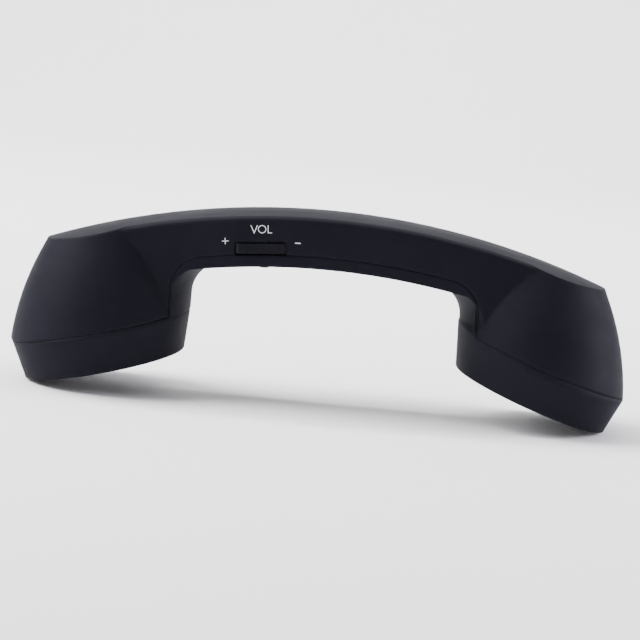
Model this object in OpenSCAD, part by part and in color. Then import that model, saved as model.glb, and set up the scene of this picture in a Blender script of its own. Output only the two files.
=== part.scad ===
// Cordless telephone handset: a flat-sided arched handle with a round cup at each end.
// The ear cup is at -X, the mouth cup at +X and the keys on the -Y side. It rests on both rims at z = 0.

/* [Handle] */
// Outside radius of the arched top
arch_r = 266.4; // [250:0.1:290]
// Height of the top of the arch above the table
top_z = 66; // [62:0.1:70]
// Thickness of the handle from top to underside
handle_t = 18.2; // [16:0.1:20]
// Width of the handle between its flat sides
handle_w = 36.4; // [34:0.1:38]
// Radius across the handle of its crowned top
crown_r = 90; // [70:1:120]
// Rounding along the two top edges
top_edge = 1.2; // [0.6:0.1:1.6]
// Radius that turns the underside down into each neck
neck_fillet = 11; // [9:0.5:13]
// How far the ear neck's inner wall lies inside the widest radius of its cup's back
ear_neck_in = 2.5; // [2.1:0.1:2.9]
// How far the mouth neck's inner wall lies inside the widest radius of its cup's back
mouth_neck_in = 4.3; // [3.4:0.1:4.6]

/* [Cups] */
// Distance from the middle to the ear cup's upright axis
ear_x = 74.2; // [72:0.1:78]
// Distance from the middle to the mouth cup's upright axis
mouth_x = 73.4; // [72:0.1:78]
// Radius of the crease round each cup
crease_r = 30.7; // [30:0.1:31.5]
// How much wider than the crease the rounded cup back is at its widest
back_out = 0.7; // [0.3:0.1:2.3]
// Height at which the cup back is widest
back_z = 6; // [4:0.5:9]
// Radius of the arc that closes the cup back towards the top
back_arc = 92; // [85:1:110]
// Height above which the cup back runs straight to the top
back_straight_z = 44; // [40:0.5:48]
// Tilt of the ear cup's crease and face
ear_tilt = 15.2; // [13:0.1:17]
// Tilt of the mouth cup's crease and face
mouth_tilt = 18.2; // [16:0.1:20]
// Lean of the ear cup's lower cone
ear_lean = 10; // [8:0.1:12]
// Lean of the mouth cup's lower cone
mouth_lean = 11.5; // [9:0.1:13]
// How far the ear crease lies outward of the upright axis
ear_crease_out = 0.9; // [0:0.1:2]
// How far the mouth crease lies outward of the upright axis
mouth_crease_out = 2.1; // [1:0.1:3]
// Half angle of the lower cones
draft = 14; // [12:0.5:16]
// Depth of a lower cone from the crease to the face
cone_h = 13.7; // [12.5:0.1:15]
// Rounding of the rim round each face
rim_edge = 1.6; // [0.8:0.1:2.2]

/* [Shells] */
// Wall thickness of both shells
wall = 2.2; // [2:0.1:2.6]
// Width of the joint line between the shells
seam = 0.16; // [0.1:0.02:0.24]
// Height of the joint line above the handle's underside
seam_rise = 4; // [3.6:0.1:4.6]
// Distance from the middle to the upright stretch of the joint line
seam_x = 51.5; // [51:0.1:52.5]
// Corner radius of the joint line
seam_corner = 12; // [10:0.5:14]

/* [Face caps] */
// Difference between the radius of the crease and that of each face cap
cap_in = 6.3; // [5.7:0.1:7.2]
// Thickness of a cap's edge and dome
cap_t = 1.3; // [1.1:0.1:1.5]
// Height of a cap's dome
cap_dome = 1.9; // [1:0.1:2.4]
// Width of the ledge under a cap
ledge = 2; // [1.4:0.1:2.4]
// Radius of one sound hole
sound_hole_r = 0.95; // [0.7:0.05:1.1]
// Distance between rings of sound holes
hole_step = 4.2; // [3.6:0.1:4.4]
// Rings of sound holes in the ear cap
ear_rings = 3; // [2:1:3]
// Rings of sound holes in the mouth cap
mouth_rings = 1; // [1:1:2]
// Height of the collar that holds the loudspeaker or microphone on a cap
collar_h = 5; // [4:0.1:6]

/* [Volume key] */
// Distance of the volume key's middle from the handle's middle
key_x = 22.6; // [20:0.1:26]
// Length of the slot for the volume key
slot_l = 16.9; // [15:0.1:19]
// Height of the slot above the joint line
slot_h = 4.1; // [3.6:0.1:4.6]
// Gap between the volume key and its slot
key_gap = 0.35; // [0.3:0.05:0.45]
// How far the volume key stands out of the side
key_proud = 0.7; // [0.4:0.1:1]
// Length of the bevel at each end of the volume key
key_bevel = 1; // [0.5:0.1:1.5]
// Depth of the shallow waist in the middle of the volume key
key_dip = 0.3; // [0.1:0.05:0.5]
// Radius of the pin that the volume key rocks on
pin_r = 0.6; // [0.5:0.05:0.8]
// Distance of the pin behind the handle's side
pin_back = 3.3; // [3:0.1:3.6]
// Width of the lugs that carry the pin
lug_w = 3.6; // [3:0.1:4.2]
// Thickness of the lug above the key
lug_t = 1.6; // [1.2:0.1:1.8]
// How far the shells' lugs reach behind the pin's axis
lug_past = 1.4; // [1.2:0.1:1.6]
// How far the key's own hub reaches behind the pin's axis
hub_past = 1.2; // [1:0.1:1.4]
// Distance of each plunger from the key's middle
plunger_x = 5.4; // [4.8:0.1:6]
// Length of a plunger
plunger_l = 1.6; // [1.4:0.1:1.8]
// Radius of a plunger
plunger_r = 1; // [0.8:0.1:1.2]
// Gap between a plunger and its switch, more than the tilted key takes up
plunger_gap = 0.5; // [0.4:0.05:0.6]

/* [Answer button] */
// Distance of the answer button from the handle's middle
button_x = 21.6; // [18:0.1:24]
// Radius of the answer button
button_r = 4.2; // [3.6:0.1:4.8]
// How far the answer button stands below the underside
button_h = 2.3; // [1.8:0.1:3]
// Gap between the answer button and its hole
button_gap = 0.35; // [0.3:0.05:0.45]
// Thickness and overlap of the flange that keeps the button in
flange = 1; // [0.8:0.1:1.2]
// Travel of the answer button
button_travel = 0.6; // [0.4:0.1:0.8]
// Radius of the button's stem
stem_r = 1.6; // [1.2:0.1:2]

/* [Boards and battery] */
// Thickness of the circuit boards
board_t = 1; // [0.8:0.1:1.6]
// Length of the main board in the handle
board_l = 50; // [46:1:54]
// Place of the main board's near edge, across the handle
board_low_y = -9.4; // [-10:0.1:-9]
// Place of the main board's far edge, across the handle
board_high_y = 14.4; // [13:0.1:14.6]
// Height of the main board above the handle's inner floor
board_rise = 5.2; // [5:0.1:5.6]
// Distance of the main board's screws from its edges
board_in = 3; // [2.5:0.1:3.5]
// Radius of a board screw's thread
board_screw_r = 0.7; // [0.6:0.05:0.8]
// Depth that a board screw goes into its pillar
board_bite = 3; // [2:0.5:3.5]
// Radius of the pillars that the boards sit on
pillar_r = 2; // [1.8:0.1:2.2]
// Length of the radio module
radio_l = 20; // [18:0.5:24]
// Width of the radio module
radio_w = 14; // [12:0.5:15]
// Thickness of the radio module's own board
radio_t = 0.8; // [0.6:0.1:1]
// Length of the bare antenna end of the radio module
antenna_l = 6; // [4:0.5:8]
// Height of the metal can on the radio module
can_h = 1.6; // [1.2:0.1:2]
// Length of the volume key's board
volume_l = 22; // [20:0.5:24]
// Height of the volume key's board
volume_h = 8.4; // [7:0.1:9]
// Length of the battery
battery_l = 40; // [36:0.5:42]
// Width of the battery
battery_w = 24; // [20:0.5:26]
// Thickness of the battery
battery_t = 7.2; // [5:0.1:7.4]
// Gap along the handle between the main board and the battery
battery_gap = 2; // [1:0.5:4]
// Length of the foam pad under the battery
pad_l = 8; // [6:0.5:20]
// How far the foam pad stays inside the battery's sides
pad_in = 2; // [1:0.5:4]
// Thickness of the foam pad
pad_t = 0.6; // [0.4:0.1:1]
// Height of a switch body on its board
switch_h = 1.6; // [1.2:0.1:1.8]
// Width of a switch body
switch_w = 3.4; // [3:0.1:4]
// Radius of a switch's moving nub
nub_r = 1; // [0.8:0.1:1.2]
// Height of a switch's moving nub
nub_h = 0.4; // [0.3:0.05:0.5]
// Radius of a lead's pair of wires
wire_r = 0.8; // [0.6:0.1:0.9]

/* [Charging socket] */
// Distance of the socket from the handset's middle
port_x = 54.2; // [52:0.1:58]
// Height of the socket above the table
port_z = 46.4; // [44:0.1:49]
// Width of the socket
port_w = 7.6; // [7:0.1:8]
// Height of the socket
port_h = 2.7; // [2.4:0.1:3]
// Depth of the socket
port_d = 5.6; // [5:0.1:6]
// Thickness of the socket's metal
port_t = 0.4; // [0.3:0.05:0.5]
// Thickness of the socket's closed end
port_base = 1; // [0.6:0.1:2]
// Length of the charging board
charge_l = 14; // [10:0.5:18]
// Width of the charging board
charge_w = 13; // [10:0.5:16]
// Distance of the charging board's pillars from its edges
charge_in = 2.5; // [2.2:0.1:3]
// Radius of the status light
light_r = 1; // [0.8:0.1:1.2]
// Height of the status light above the table
light_z = 51.6; // [50:0.1:54]

/* [Earpiece and microphone] */
// Radius of the loudspeaker
speaker_r = 15; // [13.5:0.1:16]
// Depth of the loudspeaker's basket
basket_h = 4.6; // [4:0.1:5.5]
// Radius of the loudspeaker's magnet
magnet_r = 8; // [7:0.1:9]
// Height of the loudspeaker's magnet
magnet_h = 4; // [3:0.1:5]
// Width of the loudspeaker's rim, on which its gasket lies
rim_w = 2; // [1.5:0.1:2.5]
// Thickness of the loudspeaker's gasket
gasket_t = 1; // [0.6:0.1:1.4]
// Thickness of the gauze behind the sound holes
screen_t = 0.3; // [0.2:0.05:0.5]
// Radius of the microphone capsule
mic_r = 4.85; // [4:0.05:5]
// Height of the microphone capsule
mic_h = 4.5; // [3:0.1:5]
// Thickness of the microphone's rubber boot
boot_t = 1.5; // [1:0.1:1.8]

/* [Weights and screws] */
// Radius of the steel weight in each cup
weight_r = 13; // [11:0.5:14]
// Thickness of each steel weight
weight_t = 6; // [4:0.5:7]
// Depth of each weight's underside below the top of the arch
weight_drop = 30; // [29:0.5:32]
// Depth that a weight's screw goes into its post
weight_bite = 5; // [4:0.5:6]
// Distance of each shell screw inside the edge of its cap
screw_in = 4.9; // [4.4:0.1:5.4]
// Depth that a shell screw goes into its post
shell_bite = 6; // [4:0.5:8]
// Radius of a shell screw's thread
screw_r = 1; // [0.8:0.05:1.2]
// Radius of the posts that take the screws
post_r = 2.8; // [2.4:0.1:3]
// Length of the posts that take the shell screws
post_h = 12; // [10:0.5:14]
// Height of a shell screw's head above the face of its cup
boss_low = 5; // [4.5:0.5:6]

/* [Hidden] */
EAR = 0;
MOUTH = 1;
ENDS = [EAR, MOUTH];
eps = 0.01;
// A length beyond the whole handset, for cutting blocks
far = 120;
// Share of the inset that the neck's inner fillet takes, so that it cuts the floor at a clean angle
inner_ease = 0.92;
// Conical bands that make up the curve of a cup back
back_bands = 12;
// Clearance between pieces that are fastened together
fit = 0.1;
// Least gap between pieces that move past each other
free = 0.3;
// Clearance of a thread, and of the pin in the shells
snug = 0.02;
// Radial running clearance of the volume key on its pin
running = 0.05;

half_w = handle_w / 2;
arch_z = top_z - arch_r;
under_r = arch_r - handle_t;
seam_r = under_r + seam_rise;
floor_r = under_r + wall;
// The fillets cross the underside this much above the level at which they would touch it
fillet_lift = 0.06;
// Inner radius of the slab, below both creases
slab_r = arch_r - top_z;
back_r = crease_r + back_out;
cap_r = crease_r - cap_in;
screw_out = cap_r - screw_in;
weight_z = top_z - weight_drop;
boss_high = cone_h - seam;

cup_x = [ear_x, mouth_x];
tilt = [ear_tilt, mouth_tilt];
lean = [ear_lean, mouth_lean];
crease_x = [ear_x + ear_crease_out, mouth_x + mouth_crease_out];
rim_slope = draft + max(ear_tilt - ear_lean, mouth_tilt - mouth_lean);

// Where a lower cone's outer and inner sides cross the level z of its cup's tilted frame
function skew(e) = lean[e] - tilt[e];
function side_out(e, z) =
    crease_r * cos(skew(e)) + (z + crease_r * sin(skew(e))) * tan(draft + skew(e));
function side_in(e, z) =
    crease_r * cos(skew(e)) + (z - crease_r * sin(skew(e))) * tan(draft - skew(e));
function cone_shift(e) = (side_in(e, 0) - side_out(e, 0)) / 2;
function face_r(e) = (side_out(e, -cone_h) + side_in(e, -cone_h)) / 2;
function face_x(e) = cone_shift(e) + (side_out(e, -cone_h) - side_in(e, -cone_h)) / 2;
// Radius of the flat part of a face, inside its rounded rim
function flat_r(e) = face_r(e) - rim_edge * (1 - sin(rim_slope)) / cos(rim_slope);
// Height of a crease ring's middle that sets the rounded rim on the table
function crease_z(e) =
    (cone_h - rim_edge) * cos(tilt[e]) + (face_x(e) + flat_r(e)) * sin(tilt[e]) + rim_edge;

neck_r = [back_r - ear_neck_in, back_r - mouth_neck_in];
function fillet_rho(e) = neck_r[e] + neck_fillet;
function fillet_x(e) = cup_x[e] - fillet_rho(e);
function fillet_z(e) = arch_z + sqrt(pow(under_r - neck_fillet, 2) - pow(fillet_x(e), 2));
function fillet_end(e) = cup_x[e] - fillet_x(e) * under_r / (under_r - neck_fillet);

key_angle = -asin(key_x / seam_r);
button_angle = -asin(button_x / under_r);
key_l = slot_l - 2 * key_gap;
key_h = slot_h - 2 * key_gap;
lug_low = floor_r - seam_r;
volume_y = wall + plunger_l + plunger_gap + nub_h + switch_h;

board_x = board_l / 2 - board_in;
board_ys = [board_low_y + board_in, board_high_y - board_in];
// Corner of the radio module on the main board
radio_corner = [-8, -6];
// The battery follows the main board along the handle
battery_x = board_l / 2 - button_x + battery_l / 2 + battery_gap;
battery_angle = asin(battery_x / floor_r);

// The charging board starts just beyond the near side of its socket
charge_x = port_x - port_w / 2 - free + charge_l / 2;
charge_top = port_z - port_h / 2;
light_back = half_w - port_d - light_r - free;

// Depth of a cap's inner surface at radius r, above the plane of its rim
function cap_floor(r) = cap_t - cap_dome * (1 - pow(r / cap_r, 2)) + fit / 2;
ear_floor = cap_floor(speaker_r);
mouth_floor = cap_floor(mic_r + boot_t);

// Points of each lead, chosen by hand
speaker_route = [
    [-74, 0, 18.9], [-64, 5, 27], [-57, 8, 38], [-50, 9, 50], [-49.3, 8.5, 54.2], [-44, 7, 54.4]
];
microphone_route = [
    [74.5, 0, 14.2], [62, -6, 24], [57, -11, 38], [50, -14, 52], [34, -14.4, 58.8], [12, -13, 60.8],
    [3.5, -8.5, 60], [0, -7, 58.1]
];
battery_route = [[4, 6, 55], [4.2, 6.5, 58.9], [0, 7, 58.1]];

// Frames: both ends are drawn on the +X side, and the ear end is mirrored into place

module at_end(e) {
    mirror([e == EAR ? 1 : 0, 0, 0]) children();
}

module in_cup(e) {
    translate([crease_x[e], 0, crease_z(e)]) rotate([0, tilt[e], 0]) children();
}

module at_face(e) {
    at_end(e) in_cup(e) translate([face_x(e), 0, -cone_h]) children();
}

// Along the handle: z points away from the arch's centre, from radius r
module on_arch(angle, r) {
    translate([0, 0, arch_z]) rotate([0, angle, 0]) translate([0, 0, r]) children();
}

module box(size, low) {
    translate([-size.x / 2, -size.y / 2, low]) cube(size);
}

// Outer form, drawn again with an inset for the hollow inside

module handle_section(inset) {
    w = half_w - inset;
    edge_r = arch_r - crown_r + sqrt(pow(crown_r, 2) - pow(w, 2));
    bend = top_edge * (1 - sqrt(0.5));
    outer = [
        [edge_r - top_edge, w], [edge_r - bend, w - bend],
        [edge_r + top_edge / 2, w - 2 * top_edge], [arch_r + top_edge, w - 4 * top_edge]
    ];
    half = inset > 0 ? [[arch_r + top_edge, w]] : outer;
    polygon(concat(
        [[slab_r, w]], half, [for (k = [len(half) - 1:-1:0]) [half[k].x, -half[k].y]], [[slab_r, -w]]
    ));
}

// The handle's flat-sided slab, before the hand gap and the arched top are cut
module slab(inset) {
    reach = asin(min(ear_x, mouth_x) / arch_r);
    translate([0, 0, arch_z]) rotate([90, 0, 0]) rotate([0, 0, 90 - reach])
        rotate_extrude(angle = 2 * reach, $fn = 360) handle_section(inset);
}

// The arch's crowned top: a ring, much thicker than the handle
module arch_crown(inset) {
    translate([0, 0, arch_z]) rotate([90, 0, 0]) rotate_extrude($fn = 240)
        translate([arch_r - crown_r, 0]) circle(r = crown_r - inset, $fn = 120);
}

module arch_disc(r) {
    translate([0, 0, arch_z]) rotate([90, 0, 0]) cylinder(r = r, h = far, center = true, $fn = 720);
}

function back_curve(z, inset) = sqrt(pow(back_arc - inset, 2) - pow(z - back_z, 2));
function back_rho(z, inset) = back_r - back_arc + back_curve(min(z, back_straight_z), inset)
    - max(z - back_straight_z, 0) * (back_straight_z - back_z) / back_curve(back_straight_z, inset);

module cup_back(e, inset) {
    low = -wall;
    step = (back_straight_z - low) / back_bands;
    translate([cup_x[e], 0, 0]) rotate_extrude($fn = 144) polygon([
        [0, low], for (k = [0:back_bands]) [back_rho(low + k * step, inset), low + k * step],
        [back_rho(top_z, inset), top_z], [0, top_z]
    ]);
}

module lower_cone(e, inset) {
    up = top_z;
    down = 2 * cone_h;
    r = crease_r - inset / cos(draft);
    in_cup(e) translate([cone_shift(e), 0, 0]) rotate([0, skew(e), 0]) translate([0, 0, -down])
        cylinder(r1 = r - down * tan(draft), r2 = r + up * tan(draft), h = down + up, $fn = 144);
}

module rim_trim(e, inset) {
    b = rim_slope;
    arc_x = face_r(e) - rim_edge * (1 - sin(b)) / cos(b);
    in_cup(e) translate([face_x(e), 0, -cone_h]) {
        if (inset > 0) translate([-far / 2, -far / 2, inset]) cube(far);
        else rotate_extrude($fn = 144) {
            polygon([
                [0, 0], [arc_x, 0], [arc_x + rim_edge * cos(b), rim_edge - rim_edge * sin(b)],
                [face_r(e) + top_z * tan(b), top_z], [0, top_z]
            ]);
            translate([arc_x, rim_edge]) circle(r = rim_edge, $fn = 32);
        }
    }
}

// A flared column round the upright axis of a cup, down to the crease
module neck(e, inset) {
    zf = fillet_z(e) + fillet_lift;
    intersection() {
        translate([cup_x[e], 0, 0]) rotate_extrude($fn = 144) difference() {
            square([fillet_end(e), arch_z + seam_r]);
            translate([neck_r[e] - inset, -eps]) square([fillet_rho(e), zf + eps]);
            translate([fillet_rho(e), zf]) circle(r = neck_fillet + inset * inner_ease, $fn = 96);
        }
        in_cup(e) translate([-far / 2, -far / 2, -inset]) cube(far);
    }
}

module form(inset) {
    intersection() {
        union() {
            difference() {
                slab(inset);
                difference() {
                    arch_disc(under_r + inset);
                    for (e = ENDS) at_end(e) neck(e, inset);
                }
            }
            for (e = ENDS) at_end(e) intersection() {
                cup_back(e, inset);
                lower_cone(e, inset);
                rim_trim(e, inset);
            }
        }
        arch_crown(inset);
    }
}

// The space of the lower shell: under the joint line of the handle and under both creases
module below_seam(shift) {
    r = seam_r + shift;
    x = seam_x + shift;
    corner_x = x - seam_corner;
    corner_z = arch_z + sqrt(pow(r - seam_corner, 2) - pow(corner_x, 2));
    rotate([90, 0, 0]) linear_extrude(far, center = true) {
        intersection() {
            translate([0, arch_z]) circle(r = r, $fn = 720);
            translate([-corner_x, 0]) square([2 * corner_x, top_z]);
        }
        for (s = [-1, 1]) translate([s * corner_x, corner_z]) circle(r = seam_corner, $fn = 96);
        translate([-x, 0]) square([2 * x, corner_z]);
    }
    for (e = ENDS) at_end(e) intersection() {
        in_cup(e) translate([-far / 2, -far / 2, shift - far]) cube(far);
        translate([fillet_x(e), -far / 2, -far / 2]) cube(far);
    }
}

// Screw places in a cup: across the handset, in the tilted frame of the face
module screw_places(e) {
    for (s = [-1, 1]) at_face(e) translate([0, s * screw_out, 0]) children();
}

module shell_bosses(e) {
    intersection() {
        union() {
            for (s = [-1, 1]) at_face(e) {
                translate([0, s * screw_out, boss_low]) cylinder(r = post_r, h = boss_high - boss_low);
                translate([-wall / 2, s > 0 ? screw_out : -crease_r, boss_low])
                    cube([wall, crease_r - screw_out, boss_high - boss_low]);
            }
        }
        form(wall / 2);
    }
}

module shell_posts(e) {
    intersection() {
        union() {
            for (s = [-1, 1]) at_face(e) {
                translate([0, s * screw_out, cone_h + seam]) cylinder(r = post_r, h = post_h);
                translate([-wall / 2, s > 0 ? screw_out : -crease_r, cone_h + seam])
                    cube([wall, crease_r - screw_out, post_h]);
            }
        }
        form(wall / 2);
    }
}

module weight_post(e) {
    intersection() {
        at_end(e) translate([cup_x[e], 0, weight_z + weight_t]) cylinder(r = post_r, h = top_z);
        form(wall / 2);
    }
}

// Main board frame: flat on the handle, centred over the answer button
module on_board() {
    on_arch(button_angle, floor_r + board_rise) children();
}

module board_places() {
    for (x = [-board_x, board_x], y = board_ys) on_board() translate([x, y, 0]) children();
}

module board_posts() {
    intersection() {
        board_places() translate([0, 0, -2 * board_rise]) cylinder(r = pillar_r, h = 2 * board_rise);
        form(wall / 2);
    }
}

// Charging socket in the flat back side of the mouth end's neck
module at_port() {
    translate([port_x, half_w, port_z]) rotate([-90, 0, 0]) children();
}

module port_outline(grow) {
    r = port_h / 2 + grow;
    for (s = [-1, 1]) translate([s * (port_w - port_h) / 2, 0]) circle(r = r, $fn = 32);
    square([port_w - port_h, 2 * r], center = true);
}

module charge_posts() {
    intersection() {
        for (x = [charge_x - charge_l / 2 + charge_in, charge_x + charge_l / 2 - charge_in])
            translate([x, half_w - wall - charge_w + charge_in, charge_top])
                cylinder(r = pillar_r, h = top_z);
        form(wall / 2);
    }
}

// The volume key's bearing lugs stand inside the side wall, above and below the key
module in_key() {
    on_arch(key_angle, seam_r) translate([0, -half_w, 0]) children();
}

module upper_lug() {
    in_key() translate([-lug_w / 2, wall - eps, slot_h])
        cube([lug_w, pin_back - wall + lug_past, lug_t]);
}

module lower_lug() {
    in_key() translate([-lug_w / 2, wall - eps, lug_low - eps])
        cube([lug_w, pin_back - wall + lug_past, -seam - lug_low]);
}

module pin_bore() {
    in_key() translate([0, pin_back, lug_low + fit])
        cylinder(r = pin_r + snug, h = slot_h + lug_t + wall, $fn = 32);
}

module key_slot() {
    in_key() translate([-slot_l / 2, -wall, -wall]) cube([slot_l, 2 * wall + fit, slot_h + wall]);
}

// Pieces

module upper_shell() {
    color([0.16, 0.155, 0.19]) difference() {
        union() {
            difference() {
                form(0);
                form(wall);
            }
            for (e = ENDS) {
                shell_posts(e);
                weight_post(e);
            }
            charge_posts();
            upper_lug();
        }
        below_seam(seam / 2);
        key_slot();
        pin_bore();
        for (e = ENDS) {
            screw_places(e) translate([0, 0, cone_h])
                cylinder(r = screw_r, h = shell_bite + 2, $fn = 32);
            at_end(e) translate([cup_x[e], 0, weight_z])
                cylinder(r = screw_r, h = weight_t + weight_bite + 1, $fn = 32);
        }
        at_port() translate([0, 0, -wall - fit]) linear_extrude(2 * wall) port_outline(fit);
        translate([port_x, half_w, light_z]) rotate([90, 0, 0])
            cylinder(r = light_r + fit / 2, h = 2 * wall + fit, center = true, $fn = 32);
    }
}

module cap_seat(e) {
    at_face(e) {
        translate([0, 0, -wall]) cylinder(r = cap_r + fit, h = wall + cap_t, $fn = 96);
        translate([0, 0, -wall]) cylinder(r = cap_r - ledge, h = 4 * wall, $fn = 96);
    }
}

module lower_shell() {
    color([0.14, 0.135, 0.165]) difference() {
        union() {
            difference() {
                intersection() {
                    form(0);
                    below_seam(-seam / 2);
                }
                form(wall);
            }
            for (e = ENDS) shell_bosses(e);
            board_posts();
            intersection() {
                lower_lug();
                form(wall / 2);
            }
        }
        for (e = ENDS) {
            cap_seat(e);
            screw_places(e) translate([0, 0, boss_low - fit])
                cylinder(r = screw_r + fit, h = cone_h, $fn = 32);
        }
        pin_bore();
        board_places() translate([0, 0, -board_bite - 1])
            cylinder(r = board_screw_r, h = board_bite + 2, $fn = 32);
        on_arch(button_angle, under_r - wall)
            cylinder(r = button_r + button_gap, h = 3 * wall, $fn = 48);
    }
}

module cap_dish() {
    dome_r = (pow(cap_r, 2) + pow(cap_dome, 2)) / (2 * cap_dome);
    difference() {
        union() {
            intersection() {
                translate([0, 0, dome_r - cap_dome]) sphere(r = dome_r, $fn = 360);
                translate([0, 0, -cap_dome - eps])
                    cylinder(r = cap_r, h = cap_dome + cap_t + eps, $fn = 96);
            }
            cylinder(r = cap_r, h = cap_t, $fn = 96);
        }
        intersection() {
            translate([0, 0, dome_r - cap_dome + cap_t]) sphere(r = dome_r, $fn = 360);
            translate([0, 0, -cap_dome])
                cylinder(r = cap_r - ledge - cap_t, h = cap_dome + 2 * cap_t, $fn = 96);
        }
    }
}

module face_cap(e, rings, collar_r) {
    foot = cap_floor(collar_r) - cap_t / 2;
    at_face(e) difference() {
        union() {
            cap_dish();
            translate([0, 0, foot]) difference() {
                cylinder(r = collar_r + cap_t, h = collar_h, $fn = 96);
                translate([0, 0, -eps]) cylinder(r = collar_r, h = collar_h + 2 * eps, $fn = 96);
            }
        }
        for (k = [0:rings], a = [1:max(6 * k, 1)]) rotate([0, 0, a * 360 / max(6 * k, 1)])
            translate([k * hole_step, 0, -cap_dome - eps])
                cylinder(r = sound_hole_r, h = 2 * cap_dome, $fn = 32);
    }
}

module ear_cap() {
    color([0.13, 0.13, 0.15]) face_cap(EAR, ear_rings, speaker_r + fit);
}

module mouth_cap() {
    color([0.13, 0.13, 0.15]) face_cap(MOUTH, mouth_rings, mic_r + boot_t + fit);
}

module volume_key() {
    color([0.2, 0.195, 0.23]) in_key() difference() {
        union() {
            translate([0, 0, key_gap]) linear_extrude(key_h) polygon([
                [-key_l / 2, wall], [-key_l / 2, 0], [key_bevel - key_l / 2, -key_proud],
                [-lug_w / 2, key_dip - key_proud], [lug_w / 2, key_dip - key_proud],
                [key_l / 2 - key_bevel, -key_proud], [key_l / 2, 0], [key_l / 2, wall]
            ]);
            translate([-lug_w / 2, wall - eps, key_gap])
                cube([lug_w, pin_back - wall + hub_past, key_h]);
            for (s = [-1, 1]) translate([s * plunger_x, wall - eps, slot_h / 2]) rotate([-90, 0, 0])
                cylinder(r = plunger_r, h = plunger_l, $fn = 32);
        }
        translate([0, pin_back, -wall])
            cylinder(r = pin_r + running, h = slot_h + 2 * wall, $fn = 32);
    }
}

module key_pin() {
    color("silver") in_key() translate([0, pin_back, lug_low + 2 * fit])
        cylinder(r = pin_r, h = slot_h + lug_t - lug_low - 3 * fit, $fn = 32);
}

module answer_button() {
    ball_r = (pow(button_r, 2) + pow(button_h, 2)) / (2 * button_h);
    stem_l = board_rise - switch_h - nub_h - button_travel - free - flange;
    color([0.2, 0.195, 0.23]) on_arch(button_angle, under_r) {
        intersection() {
            translate([0, 0, ball_r - button_h]) sphere(r = ball_r, $fn = 96);
            translate([0, 0, -button_h - eps]) cylinder(r = button_r, h = button_h + eps, $fn = 48);
        }
        translate([0, 0, -eps]) cylinder(r = button_r, h = wall + free + eps, $fn = 48);
        translate([0, 0, wall + free / 2])
            cylinder(r = button_r + button_gap + flange, h = flange, $fn = 48);
        translate([0, 0, wall + flange]) cylinder(r = stem_r, h = stem_l, $fn = 32);
    }
}

module main_board() {
    color([0.1, 0.35, 0.2]) difference() {
        on_board() translate([-board_l / 2, board_low_y, 0])
            cube([board_l, board_high_y - board_low_y, board_t]);
        board_places() translate([0, 0, -eps])
            cylinder(r = board_screw_r + 2 * fit, h = 2 * board_t, $fn = 32);
    }
}

module radio_module() {
    edge = 1;
    color([0.75, 0.76, 0.78]) on_board() translate([radio_corner.x, radio_corner.y, board_t]) {
        cube([radio_l, radio_w, radio_t]);
        translate([edge, edge, radio_t]) cube([radio_l - antenna_l - edge, radio_w - 2 * edge, can_h]);
    }
}

module answer_switch() {
    color([0.3, 0.3, 0.32]) on_board() {
        box([2 * switch_w, 2 * switch_w, switch_h], -switch_h);
        translate([0, 0, -switch_h - nub_h]) cylinder(r = nub_r, h = nub_h + eps, $fn = 32);
    }
}

module volume_board() {
    color([0.1, 0.35, 0.2]) in_key() translate([-volume_l / 2, volume_y, lug_low + free])
        cube([volume_l, board_t, volume_h]);
}

module volume_switches() {
    color([0.3, 0.3, 0.32]) in_key() for (s = [-1, 1])
        translate([s * plunger_x, volume_y, slot_h / 2]) {
            translate([-switch_w / 2, -switch_h, -switch_w / 2]) cube([switch_w, switch_h, switch_w]);
            rotate([90, 0, 0]) cylinder(r = nub_r, h = switch_h + nub_h, $fn = 32);
        }
}

module battery_cell() {
    color([0.7, 0.72, 0.78]) on_arch(battery_angle, floor_r + pad_t + fit)
        box([battery_l, battery_w, battery_t], 0);
}

module battery_pad() {
    color([0.35, 0.35, 0.38]) on_arch(battery_angle, floor_r + fit)
        box([pad_l, battery_w - 2 * pad_in, pad_t], 0);
}

module charge_board() {
    color([0.1, 0.35, 0.2])
        translate([charge_x - charge_l / 2, half_w - wall - fit - charge_w, charge_top - board_t])
            cube([charge_l, charge_w, board_t]);
}

module charge_port() {
    color([0.75, 0.76, 0.78]) at_port() translate([0, 0, -port_d]) difference() {
        linear_extrude(port_d - fit) port_outline(0);
        translate([0, 0, port_base]) linear_extrude(port_d) port_outline(-port_t);
    }
}

module status_light() {
    color([0.9, 0.9, 0.95]) {
        translate([port_x, half_w - fit, light_z]) rotate([90, 0, 0])
            cylinder(r = light_r, h = half_w - light_back, $fn = 32);
        translate([port_x, light_back, charge_top])
            cylinder(r = light_r, h = light_z - charge_top + light_r, $fn = 32);
    }
}

module at_speaker() {
    at_face(EAR) translate([0, 0, ear_floor + screen_t + gasket_t]) children();
}

module speaker_frame() {
    t = 0.8;
    foot = magnet_r + 1;
    rim = speaker_r - rim_w;
    color([0.25, 0.25, 0.27]) at_speaker() rotate_extrude($fn = 96) polygon([
        [rim, 0], [speaker_r, 0], [speaker_r, t], [rim, t],
        [foot, basket_h], [0, basket_h], [0, basket_h - t], [foot - t, basket_h - t], [rim - t, t]
    ]);
}

module speaker_magnet() {
    plate_in = 2;
    plate_t = 0.8;
    color([0.6, 0.6, 0.62]) at_speaker() translate([0, 0, basket_h]) {
        cylinder(r = magnet_r, h = magnet_h, $fn = 72);
        translate([0, 0, magnet_h - eps]) cylinder(r = magnet_r - plate_in, h = plate_t, $fn = 72);
    }
}

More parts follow.
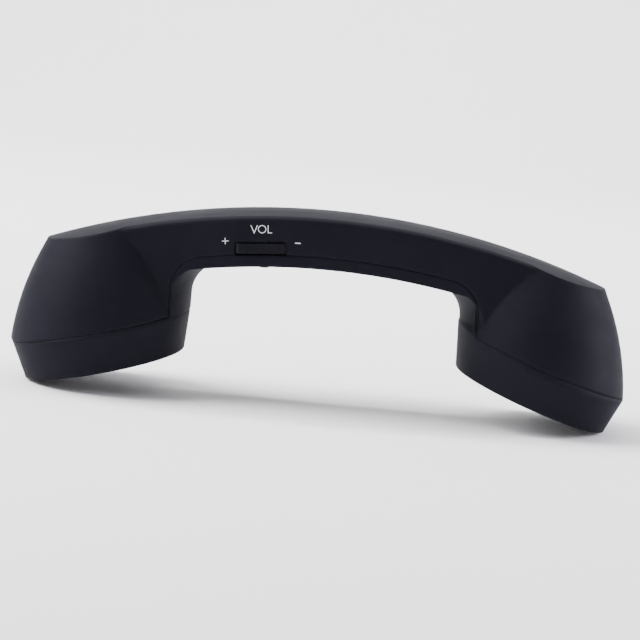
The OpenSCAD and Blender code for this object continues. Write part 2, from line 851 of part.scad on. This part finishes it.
module speaker_cone() {
    t = 0.35;
    low = 0.1;
    high = 1.4;
    peak = 1.8;
    rim = speaker_r - rim_w - low - t - fit;
    color([0.85, 0.85, 0.8]) at_speaker() rotate_extrude($fn = 96) polygon([
        [0, high], [magnet_r / 2, peak], [magnet_r, high], [rim - 1, low], [rim, low], [rim, low + t],
        [rim - 1, low + t], [magnet_r, high + t], [magnet_r / 2, peak + t], [0, high + t]
    ]);
}

module speaker_gasket() {
    color([0.2, 0.2, 0.2]) at_face(EAR) translate([0, 0, ear_floor + screen_t]) difference() {
        cylinder(r = speaker_r, h = gasket_t, $fn = 96);
        translate([0, 0, -eps]) cylinder(r = speaker_r - rim_w, h = 2 * gasket_t, $fn = 96);
    }
}

module ear_screen() {
    color([0.1, 0.1, 0.1]) at_face(EAR) translate([0, 0, ear_floor])
        cylinder(r = speaker_r, h = screen_t, $fn = 96);
}

module microphone() {
    color([0.75, 0.75, 0.72]) at_face(MOUTH) translate([0, 0, mouth_floor + screen_t + boot_t / 2])
        cylinder(r = mic_r, h = mic_h, $fn = 64);
}

module microphone_boot() {
    color([0.15, 0.15, 0.15]) at_face(MOUTH) translate([0, 0, mouth_floor + screen_t]) difference() {
        cylinder(r = mic_r + boot_t, h = mic_h, $fn = 64);
        translate([0, 0, boot_t / 2]) cylinder(r = mic_r, h = mic_h, $fn = 64);
        translate([0, 0, -eps]) cylinder(r = mic_r / 3, h = boot_t, $fn = 32);
    }
}

module mouth_screen() {
    color([0.1, 0.1, 0.1]) at_face(MOUTH) translate([0, 0, mouth_floor])
        cylinder(r = mic_r + boot_t, h = screen_t, $fn = 64);
}

module weight(e) {
    color([0.62, 0.63, 0.65]) at_end(e) translate([cup_x[e], 0, weight_z]) difference() {
        cylinder(r = weight_r, h = weight_t, $fn = 96);
        translate([0, 0, -eps]) cylinder(r = screw_r + fit, h = 2 * weight_t, $fn = 32);
    }
}

module ear_weight() {
    weight(EAR);
}

module mouth_weight() {
    weight(MOUTH);
}

// A pan-headed screw, point up, with its head's underside at z = 0
module screw(r, l) {
    difference() {
        translate([0, 0, -1.2 * r]) cylinder(r = 2 * r, h = 1.2 * r, $fn = 48);
        for (a = [0, 90]) rotate([0, 0, a]) box([2.4 * r, 0.4 * r, 0.8 * r], -1.2 * r - eps);
    }
    cylinder(r = r - snug, h = l, $fn = 32);
}

module shell_screws() {
    color("silver") for (e = ENDS) screw_places(e) translate([0, 0, boss_low])
        screw(screw_r, cone_h - boss_low + shell_bite);
}

module board_screws() {
    color("silver") board_places() translate([0, 0, board_t]) mirror([0, 0, 1])
        screw(board_screw_r, board_t + board_bite);
}

module weight_screws() {
    color("silver") for (e = ENDS) at_end(e) translate([cup_x[e], 0, weight_z])
        screw(screw_r, weight_t + weight_bite);
}

// A pair of wires as one round run
module lead(points) {
    for (i = [0:len(points) - 2]) {
        d = points[i + 1] - points[i];
        translate(points[i]) rotate([0, acos(d.z / norm(d)), atan2(d.y, d.x)])
            cylinder(r = wire_r, h = norm(d), $fn = 16);
        if (i > 0) translate(points[i]) sphere(r = wire_r + 5 * eps, $fn = 16);
    }
}

module speaker_lead() {
    color([0.7, 0.1, 0.1]) lead(speaker_route);
}

module microphone_lead() {
    color([0.1, 0.1, 0.1]) lead(microphone_route);
}

module battery_lead() {
    color([0.7, 0.1, 0.1]) lead(battery_route);
}

upper_shell();
lower_shell();
ear_cap();
mouth_cap();
volume_key();
key_pin();
answer_button();
main_board();
radio_module();
answer_switch();
volume_board();
volume_switches();
battery_cell();
battery_pad();
charge_board();
charge_port();
status_light();
speaker_frame();
speaker_magnet();
speaker_cone();
speaker_gasket();
ear_screen();
microphone();
microphone_boot();
mouth_screen();
ear_weight();
mouth_weight();
shell_screws();
board_screws();
weight_screws();
speaker_lead();
microphone_lead();
battery_lead();
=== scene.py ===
"""Looks of the cordless telephone handset: camera, studio, finishes, the signs by its key and its lap lip."""

import math

import bmesh
import bpy
from mathutils import Matrix, Vector


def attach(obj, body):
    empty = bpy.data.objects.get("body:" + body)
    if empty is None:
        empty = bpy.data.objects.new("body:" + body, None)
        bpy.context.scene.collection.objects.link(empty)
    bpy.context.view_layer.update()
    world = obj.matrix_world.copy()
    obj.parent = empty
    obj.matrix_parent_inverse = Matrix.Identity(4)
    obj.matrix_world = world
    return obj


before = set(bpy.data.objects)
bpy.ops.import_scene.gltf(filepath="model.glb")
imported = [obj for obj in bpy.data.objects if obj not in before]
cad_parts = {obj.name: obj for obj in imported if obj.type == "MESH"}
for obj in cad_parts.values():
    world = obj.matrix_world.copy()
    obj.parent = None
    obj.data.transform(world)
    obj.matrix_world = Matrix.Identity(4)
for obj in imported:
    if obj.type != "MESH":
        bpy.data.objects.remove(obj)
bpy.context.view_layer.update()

MM = 0.001
# From part.scad, in millimetres: the height of the arch's centre, the handle's near side and the shells' wall
ARCH_Z = -200.4
SIDE_Y = -18.2
WALL = 2.2
# The joint line: its radius along the handle, and its upright stretch and corner at each neck
SEAM_R = 252.2
SEAM_X = 51.5
SEAM_CORNER = 12.0


def aim(obj, place, target, roll=0.0):
    """Puts a camera or light at place, looking at target, turned by roll about its line of sight."""
    ahead = (Vector(target) - Vector(place)).normalized()
    right = ahead.cross(Vector((0, 0, 1))).normalized()
    up = right.cross(ahead)
    side = right * math.cos(roll) + up * math.sin(roll)
    top = up * math.cos(roll) - right * math.sin(roll)
    turn = Matrix((side, top, -ahead)).transposed()
    obj.matrix_world = Matrix.Translation(place) @ turn.to_4x4()


def add_camera():
    """The photograph's view, fitted to the outline of the handset."""
    target = Vector((-0.9, 0, 28.56)) * MM
    elevation = math.radians(7.71)
    back = Vector((0, -math.cos(elevation), math.sin(elevation)))
    cam = bpy.data.objects.new("camera", bpy.data.cameras.new("camera"))
    cam.data.sensor_width = 36
    cam.data.lens = 115.4
    bpy.context.scene.collection.objects.link(cam)
    aim(cam, target + back * 0.7, target, math.radians(5.47))
    bpy.context.scene.camera = cam


def add_light(name, place, target, size, power, colour=(1, 1, 1)):
    lamp = bpy.data.lights.new(name, "AREA")
    lamp.shape = "RECTANGLE"
    lamp.size, lamp.size_y = size
    lamp.energy = power
    lamp.color = colour
    obj = bpy.data.objects.new(name, lamp)
    bpy.context.scene.collection.objects.link(obj)
    aim(obj, place, target)


class Finish:
    """A material that is built up from procedural layers, in the object's own coordinates."""

    def __init__(self, name):
        self.material = bpy.data.materials.new(name)
        self.material.use_nodes = True
        self.tree = self.material.node_tree
        self.shader = self.tree.nodes["Principled BSDF"]
        self.place = self.node("ShaderNodeTexCoord").outputs["Object"]
        self.normal = None

    def node(self, kind, inputs=(), **settings):
        made = self.tree.nodes.new(kind)
        for key, value in settings.items():
            setattr(made, key, value)
        for key, value in dict(inputs).items():
            self.put(made.inputs[key], value)
        return made

    def put(self, socket, value):
        if isinstance(value, bpy.types.NodeSocket):
            self.tree.links.new(value, socket)
        else:
            socket.default_value = value

    def set(self, **values):
        """Sets sockets of the shader: base_color=(...) is the socket Base Color."""
        for key, value in values.items():
            socket = self.shader.inputs[key.replace("_", " ").title().replace("Ior", "IOR")]
            self.put(socket, (*value, 1) if isinstance(value, tuple) and len(value) == 3 else value)

    def noise(self, size, detail=2.0, stretch=(1, 1, 1), roughness=0.5):
        """Noise whose features are about size millimetres wide, longer along a stretched axis."""
        scaled = self.node("ShaderNodeMapping", {"Vector": self.place})
        scaled.inputs["Scale"].default_value = [1 / (size * MM * s) for s in stretch]
        made = self.node("ShaderNodeTexNoise", {"Vector": scaled.outputs[0], "Scale": 1.0, "Detail": detail,
                                                "Roughness": roughness})
        return made.outputs["Fac"]

    def cells(self, size):
        """Rounded cells about size millimetres wide."""
        scaled = self.node("ShaderNodeMapping", {"Vector": self.place})
        scaled.inputs["Scale"].default_value = [1 / (size * MM)] * 3
        made = self.node("ShaderNodeTexVoronoi", {"Vector": scaled.outputs[0], "Scale": 1.0})
        return made.outputs["Distance"]

    def waves(self, size, direction="X", bands="BANDS"):
        """Waves that repeat every size millimetres."""
        made = self.node("ShaderNodeTexWave", {"Vector": self.place, "Scale": math.pi / (10 * size * MM)},
                         wave_type=bands)
        if bands == "BANDS":
            made.bands_direction = direction
        return made.outputs["Fac"]

    def spread(self, value, low, high, start=0.3, end=0.7):
        """Maps value from start..end to low..high."""
        made = self.node("ShaderNodeMapRange", {"Value": value, "From Min": start, "From Max": end,
                                                "To Min": low, "To Max": high})
        return made.outputs["Result"]

    def mix(self, share, first, second):
        """Blends two colours. Sockets 6 and 7 are the Mix node's colours A and B."""
        made = self.node("ShaderNodeMix", {"Factor": share}, data_type="RGBA")
        self.put(made.inputs[6], (*first, 1) if isinstance(first, tuple) else first)
        self.put(made.inputs[7], (*second, 1) if isinstance(second, tuple) else second)
        return made.outputs[2]

    def soft_edges(self, radius):
        """Rounds the edges in the shading. Returns how near a point is to an edge, from 0 to about 1."""
        rounded = self.node("ShaderNodeBevel", {"Radius": radius * MM}, samples=8).outputs["Normal"]
        flat = self.node("ShaderNodeNewGeometry").outputs["Normal"]
        facing = self.node("ShaderNodeVectorMath", {0: rounded, 1: flat}, operation="DOT_PRODUCT")
        self.normal = rounded
        return self.spread(facing.outputs["Value"], 1.0, 0.0, 0.75, 0.99)

    def bump(self, height, depth, strength=1.0):
        """A relief of depth millimetres from height, on top of the relief so far."""
        made = self.node("ShaderNodeBump", {"Height": height, "Distance": depth * MM, "Strength": strength})
        if self.normal:
            self.put(made.inputs["Normal"], self.normal)
        self.normal = made.outputs["Normal"]

    def done(self):
        if self.normal:
            self.put(self.shader.inputs["Normal"], self.normal)
        return self.material


def moulded(name, colour, worn, roughness, edge, grain, gloss=0.2, sheen=0.0):
    """Moulded plastic: a fine spark-eroded grain, faint flow marks and edges that handling has rubbed."""
    f = Finish(name)
    near_edge = f.soft_edges(edge)
    cloud = f.noise(24, 4, roughness=0.6)
    smear = f.noise(7, 3, stretch=(3, 1, 1))
    base = f.mix(f.spread(cloud, 0, 1), colour, tuple(c * 1.22 for c in colour))
    rubbed = f.node("ShaderNodeMath", {0: near_edge, 1: f.spread(smear, 0.25, 0.9)}, operation="MULTIPLY")
    f.set(base_color=f.mix(rubbed.outputs[0], base, worn))
    f.set(roughness=f.spread(smear, roughness - 0.035, roughness + 0.04))
    f.set(specular_ior_level=gloss, sheen_weight=sheen, sheen_roughness=0.45, sheen_tint=(0.78, 0.76, 0.95))
    f.bump(f.noise(grain, 3), 0.012, 0.7)
    f.bump(f.noise(11, 2), 0.05, 0.12)
    return f.done()


def steel(name, colour=(0.56, 0.55, 0.53), roughness=0.32, stretch=(40, 1, 1)):
    """Rolled or turned steel with fine drawn lines and a few dull spots."""
    f = Finish(name)
    f.soft_edges(0.15)
    lines = f.noise(0.08, 2, stretch=stretch)
    spots = f.noise(2.2, 5, roughness=0.7)
    f.set(base_color=f.mix(f.spread(spots, 0, 1, 0.5, 0.75), colour, tuple(c * 0.7 for c in colour)))
    f.set(metallic=1.0, roughness=f.spread(spots, roughness, roughness + 0.2, 0.4, 0.8))
    f.bump(lines, 0.006, 0.5)
    return f.done()


def board():
    """Circuit board: green solder mask over copper tracks, on a faint glass weave."""
    f = Finish("solder_mask")
    black, white = (0, 0, 0, 1), (1, 1, 1, 1)
    tracks = f.node("ShaderNodeTexBrick", {"Vector": f.place, "Scale": 420.0, "Mortar Size": 0.02,
                                           "Color1": black, "Color2": black, "Mortar": white})
    blot = f.spread(f.noise(5, 2), 0, 1, 0.45, 0.5)
    shown = f.node("ShaderNodeMath", {0: tracks.outputs["Color"], 1: blot}, operation="MULTIPLY").outputs[0]
    f.set(base_color=f.mix(shown, (0.003, 0.018, 0.009), (0.008, 0.045, 0.02)))
    f.set(roughness=f.spread(f.noise(1.5), 0.24, 0.36), coat_weight=0.4, coat_roughness=0.2)
    f.bump(shown, 0.03)
    f.bump(f.waves(0.5, "X"), 0.006, 0.5)
    return f.done()


def foil():
    """Crinkled aluminium laminate round the battery."""
    f = Finish("battery_foil")
    f.soft_edges(0.6)
    f.set(base_color=f.mix(f.spread(f.noise(9, 3), 0, 1), (0.56, 0.58, 0.62), (0.66, 0.67, 0.69)))
    f.set(metallic=1.0, roughness=f.spread(f.noise(3), 0.26, 0.42))
    f.bump(f.noise(4.5, 3), 0.12, 0.5)
    return f.done()


def foam():
    """Soft black foam with open cells, and painted shade in the hollow of each cell."""
    f = Finish("open_foam")
    pore_relief_and_shade = f.cells(0.5)
    # The cell hollows are painted darker than the walls between them: painted shade in the hollows, from the
    # cells that also give the relief.
    f.set(base_color=f.mix(pore_relief_and_shade, (0.008, 0.008, 0.009), (0.05, 0.05, 0.055)))
    f.set(roughness=0.95, sheen_weight=0.3)
    f.bump(pore_relief_and_shade, 0.15)
    return f.done()


def gauze():
    """Woven acoustic cloth behind the sound holes, with painted shade in the gaps between its threads."""
    f = Finish("woven_gauze")
    warp, weft = f.waves(0.42, "X"), f.waves(0.42, "Y")
    weave = f.node("ShaderNodeMath", {0: warp, 1: weft}, operation="MAXIMUM").outputs[0]
    # The gaps between the threads are painted darker than the thread tops: painted shade between the threads,
    # from the waves that also give the relief.
    f.set(base_color=f.mix(weave, (0.006, 0.006, 0.007), (0.075, 0.075, 0.085)))
    f.set(roughness=f.spread(f.noise(1), 0.55, 0.75), sheen_weight=0.2)
    f.bump(weave, 0.08)
    return f.done()


def film():
    """Loudspeaker cone: translucent film with rings pressed into it."""
    f = Finish("speaker_film")
    f.set(base_color=f.mix(f.noise(3), (0.42, 0.37, 0.25), (0.55, 0.5, 0.36)))
    f.set(roughness=f.spread(f.noise(0.8), 0.3, 0.45))
    f.bump(f.waves(1.1, bands="RINGS"), 0.08)
    return f.done()


def wire():
    """Insulated pair: the sheath is slightly ribbed by the strands inside."""
    f = Finish("wire_sheath")
    f.set(base_color=f.mix(f.spread(f.noise(4), 0, 1), (0.20, 0.012, 0.012), (0.28, 0.022, 0.02)))
    f.set(roughness=f.spread(f.noise(1.2), 0.36, 0.5))
    f.bump(f.waves(0.9, "DIAGONAL"), 0.05, 0.6)
    return f.done()


def frosted():
    """Light guide: milky moulded plastic that lets light through."""
    f = Finish("frosted_guide")
    f.soft_edges(0.2)
    f.set(base_color=f.mix(f.noise(0.6), (0.72, 0.75, 0.78), (0.85, 0.87, 0.9)))
    f.set(roughness=f.spread(f.noise(0.3), 0.3, 0.5), transmission_weight=0.35, ior=1.49)
    f.bump(f.noise(0.1), 0.01)
    return f.done()


def ink():
    """Pad-printed white ink, a little thin in places."""
    f = Finish("printed_ink")
    f.set(base_color=f.mix(f.spread(f.noise(0.35, 3), 0, 1), (0.62, 0.62, 0.64), (0.8, 0.8, 0.81)))
    f.set(roughness=f.spread(f.noise(0.5), 0.45, 0.6))
    f.bump(f.noise(0.2), 0.008)
    return f.done()


def paper(name, colour):
    """Studio paper with a faint tooth."""
    f = Finish(name)
    f.set(base_color=f.mix(f.noise(60, 3), colour, tuple(c * 0.985 for c in colour)))
    f.set(roughness=f.spread(f.noise(30), 0.85, 0.95), specular_ior_level=0.15)
    f.bump(f.noise(0.9), 0.02, 0.3)
    return f.done()


def finish_nodes():
    """Gives each CAD node its finish."""
    shell = moulded("soft_touch_shell", (0.0070, 0.0070, 0.0110), (0.013, 0.0128, 0.0180),
                    0.62, 1.3, 0.22, 0.05)
    cap = moulded("grained_cap", (0.0034, 0.0034, 0.0046), (0.009, 0.009, 0.011), 0.52, 0.35, 0.35, 0.12)
    key = moulded("satin_key", (0.0042, 0.0043, 0.0068), (0.012, 0.012, 0.016), 0.46, 0.30, 0.18, 0.09)
    inner = moulded("black_nylon", (0.018, 0.018, 0.019), (0.04, 0.04, 0.042), 0.5, 0.2, 0.5)
    boot = moulded("boot_rubber", (0.012, 0.012, 0.012), (0.03, 0.03, 0.03), 0.7, 0.3, 0.3, sheen=0.2)
    plated = steel("plated_steel")
    turned = steel("turned_steel", (0.48, 0.47, 0.45), 0.38, (1, 1, 30))
    blackened = steel("blackened_steel", (0.012, 0.012, 0.014), 0.5, (1, 1, 30))
    green = board()
    sponge, cloth = foam(), gauze()
    looks = {
        "upper_shell": shell, "lower_shell": shell, "ear_cap": cap, "mouth_cap": cap,
        "volume_key": key, "answer_button": key, "key_pin": blackened,
        "main_board": green, "volume_board": green, "charge_board": green,
        "radio_module": plated, "charge_port": plated, "microphone": plated, "speaker_magnet": plated,
        "answer_switch": inner, "volume_switches": inner, "speaker_frame": inner, "microphone_boot": boot,
        "battery_cell": foil(), "battery_pad": sponge, "speaker_gasket": sponge,
        "ear_screen": cloth, "mouth_screen": cloth, "status_light": frosted(), "speaker_cone": film(),
        "ear_weight": turned, "mouth_weight": turned,
        "shell_screws": plated, "board_screws": plated, "weight_screws": plated,
        "speaker_lead": wire(), "microphone_lead": wire(), "battery_lead": wire(),
    }
    for name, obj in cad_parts.items():
        obj.data.materials.clear()
        obj.data.materials.append(looks[name])


def ribbon(points, width, closed=False):
    """Left and right sides of a stroke along points, mitred at its bends."""
    count = len(points)
    sides = []
    for i, p in enumerate(points):
        before = points[(i - 1) % count] if closed or i > 0 else None
        after = points[(i + 1) % count] if closed or i < count - 1 else None
        along_in = (Vector(p) - Vector(before)).normalized() if before else None
        along_out = (Vector(after) - Vector(p)).normalized() if after else None
        along = ((along_in or along_out) + (along_out or along_in)).normalized()
        reach = width / 2 / max(0.35, along.dot(along_out or along_in))
        across = Vector((-along.y, along.x)) * reach
        sides.append((Vector(p) + across, Vector(p) - across))
    return sides


def skin(mesh, rings, closed):
    """Faces between four-cornered rings along a stroke, and over its ends."""
    last = len(rings) if closed else len(rings) - 1
    for i in range(last):
        a, b = rings[i], rings[(i + 1) % len(rings)]
        for k in range(4):
            mesh.faces.new((a[k], a[(k + 1) % 4], b[(k + 1) % 4], b[k]))
    if not closed:
        mesh.faces.new(rings[0])
        mesh.faces.new(rings[-1])


def add_piece(name, mesh, finish):
    """Turns a bmesh into a piece that rides on the handset."""
    bmesh.ops.recalc_face_normals(mesh, faces=mesh.faces)
    data = bpy.data.meshes.new(name)
    mesh.to_mesh(data)
    mesh.free()
    data.materials.append(finish)
    obj = bpy.data.objects.new(name, data)
    bpy.context.scene.collection.objects.link(obj)
    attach(obj, "handset")


def add_sign(name, centre, strokes, width, finish):
    """A sign on the handle's flat side, level with the arch there, from strokes of (points, closed) in mm."""
    front, behind = SIDE_Y - 0.03, SIDE_Y + 0.04
    angle = math.atan2(centre[0], centre[1] - ARCH_Z)
    along = Vector((math.cos(angle), -math.sin(angle)))
    outward = Vector((math.sin(angle), math.cos(angle)))
    mesh = bmesh.new()
    for points, closed in strokes:
        rings = []
        for pair in ribbon(points, width, closed):
            flat = [Vector(centre) + along * p.x + outward * p.y for p in pair]
            rings.append([mesh.verts.new((q.x * MM, y * MM, q.y * MM))
                          for q, y in ((flat[0], front), (flat[1], front),
                                       (flat[1], behind), (flat[0], behind))])
        skin(mesh, rings, closed)
    add_piece(name, mesh, finish)


def add_signs():
    """The plain signs by the volume key: its name, a plus at the ear end and a minus at the mouth end."""
    finish = ink()
    turns = [t * math.tau / 40 for t in range(40)]
    oval = [(0.2 + 1.24 * math.cos(a), 1.23 * math.sin(a)) for a in turns]
    word = [
        ([(-3.5, 1.27), (-2.42, -1.22), (-1.34, 1.27)], False),
        (oval, True),
        ([(2.2, 1.32), (2.2, -1.2), (3.5, -1.2)], False),
    ]
    add_sign("volume_word", (-23.0, 59.3), word, 0.24, finish)
    level = ([(-1.05, 0), (1.05, 0)], False)
    upright = ([(0, 1.05), (0, -1.05)], False)
    add_sign("plus_sign", (-34.6, 54.25), [level, upright], 0.24, finish)
    add_sign("minus_sign", (-10.6, 55.8), [([(-0.95, 0), (0.95, 0)], False)], 0.28, finish)


def add_lips():
    """The lap lip inside the joint line, broken at the key, against light and dust."""
    height, thickness, gap = 2.4, 0.6, 0.05
    outer = SIDE_Y + WALL + gap
    inner = outer + thickness
    corner_x = SEAM_X - SEAM_CORNER
    corner_z = ARCH_Z + math.sqrt((SEAM_R - SEAM_CORNER) ** 2 - corner_x ** 2)
    lean = math.atan2(corner_x, corner_z - ARCH_Z)
    finish = moulded("lip_plastic", (0.0034, 0.0034, 0.0046), (0.006, 0.006, 0.008), 0.6, 0.1, 0.4, 0.1)
    for name, side, start_x in (("ear_lip", -1, 34.0), ("mouth_lip", 1, -12.0)):
        start = math.asin(start_x / SEAM_R)
        turns = [start + (0.95 * lean - start) * i / 16 for i in range(17)]
        path = [(SEAM_R * math.sin(a), ARCH_Z + SEAM_R * math.cos(a)) for a in turns]
        turns = [lean + (math.pi / 2 - lean) * i / 12 for i in range(13)]
        path += [(corner_x + SEAM_CORNER * math.sin(a), corner_z + SEAM_CORNER * math.cos(a)) for a in turns]
        path.append((SEAM_X, corner_z - 5))
        mesh = bmesh.new()
        rings = [[mesh.verts.new((p.x * MM, y * MM, p.y * MM))
                  for p, y in ((a, outer), (b, outer), (b, inner), (a, inner))]
                 for a, b in ribbon([(side * x, z) for x, z in path], height)]
        skin(mesh, rings, False)
        add_piece(name, mesh, finish)


def add_sweep():
    """A pale floor that curves up into a pale backdrop, just below the rims. Lengths are in metres."""
    mesh = bmesh.new()
    depth, width, bend, below = 2.2, 4.0, 0.9, 0.0002
    line = [(-2.0, 0.0), (depth - bend, 0.0)]
    for i in range(1, 17):
        a = i / 16 * math.pi / 2
        line.append((depth - bend + bend * math.sin(a), bend * (1 - math.cos(a))))
    line.append((depth, 3.0))
    rows = [[mesh.verts.new((x, y, z - below)) for x in (-width, width)] for y, z in line]
    for low, high in zip(rows, rows[1:]):
        face = mesh.faces.new((low[0], low[1], high[1], high[0]))
        face.smooth = True
    data = bpy.data.meshes.new("sweep")
    mesh.to_mesh(data)
    mesh.free()
    data.materials.append(paper("sweep_paper", (0.93, 0.93, 0.93)))
    sweep = bpy.data.objects.new("sweep", data)
    bpy.context.scene.collection.objects.link(sweep)


def add_world():
    """A studio whose near side is darker than the wall behind the object."""
    world = bpy.data.worlds.new("studio")
    world.use_nodes = True
    tree = world.node_tree
    background = tree.nodes["Background"]
    background.inputs["Color"].default_value = (0.95, 0.96, 1.0, 1)
    direction = tree.nodes.new("ShaderNodeTexCoord")
    parts = tree.nodes.new("ShaderNodeSeparateXYZ")
    fade = tree.nodes.new("ShaderNodeMapRange")
    for name, value in {"From Min": -0.8, "From Max": 0.7, "To Min": 0.16, "To Max": 1.3}.items():
        fade.inputs[name].default_value = value
    tree.links.new(direction.outputs["Generated"], parts.inputs[0])
    tree.links.new(parts.outputs["Y"], fade.inputs["Value"])
    tree.links.new(fade.outputs["Result"], background.inputs["Strength"])
    bpy.context.scene.world = world


def add_lights():
    """Soft boxes over the handset, at its two ends and on the wall behind it."""
    middle = (0, 0, 0.04)
    add_light("top_box", (-0.85, 0.05, 1.00), middle, (0.9, 0.9), 42)
    add_light("wall_box", (0, 0.6, 1.6), (0, 2.2, 0.7), (2.4, 0.8), 90)
    add_light("left_box", (-0.95, -0.20, 0.40), middle, (0.5, 0.6), 4.6, (0.93, 0.90, 1.0))
    add_light("right_box", (1.0, 0.10, 0.35), middle, (0.4, 0.6), 16.0, (0.93, 0.89, 1.0))


add_camera()
finish_nodes()
add_signs()
add_lips()
add_sweep()
add_world()
add_lights()
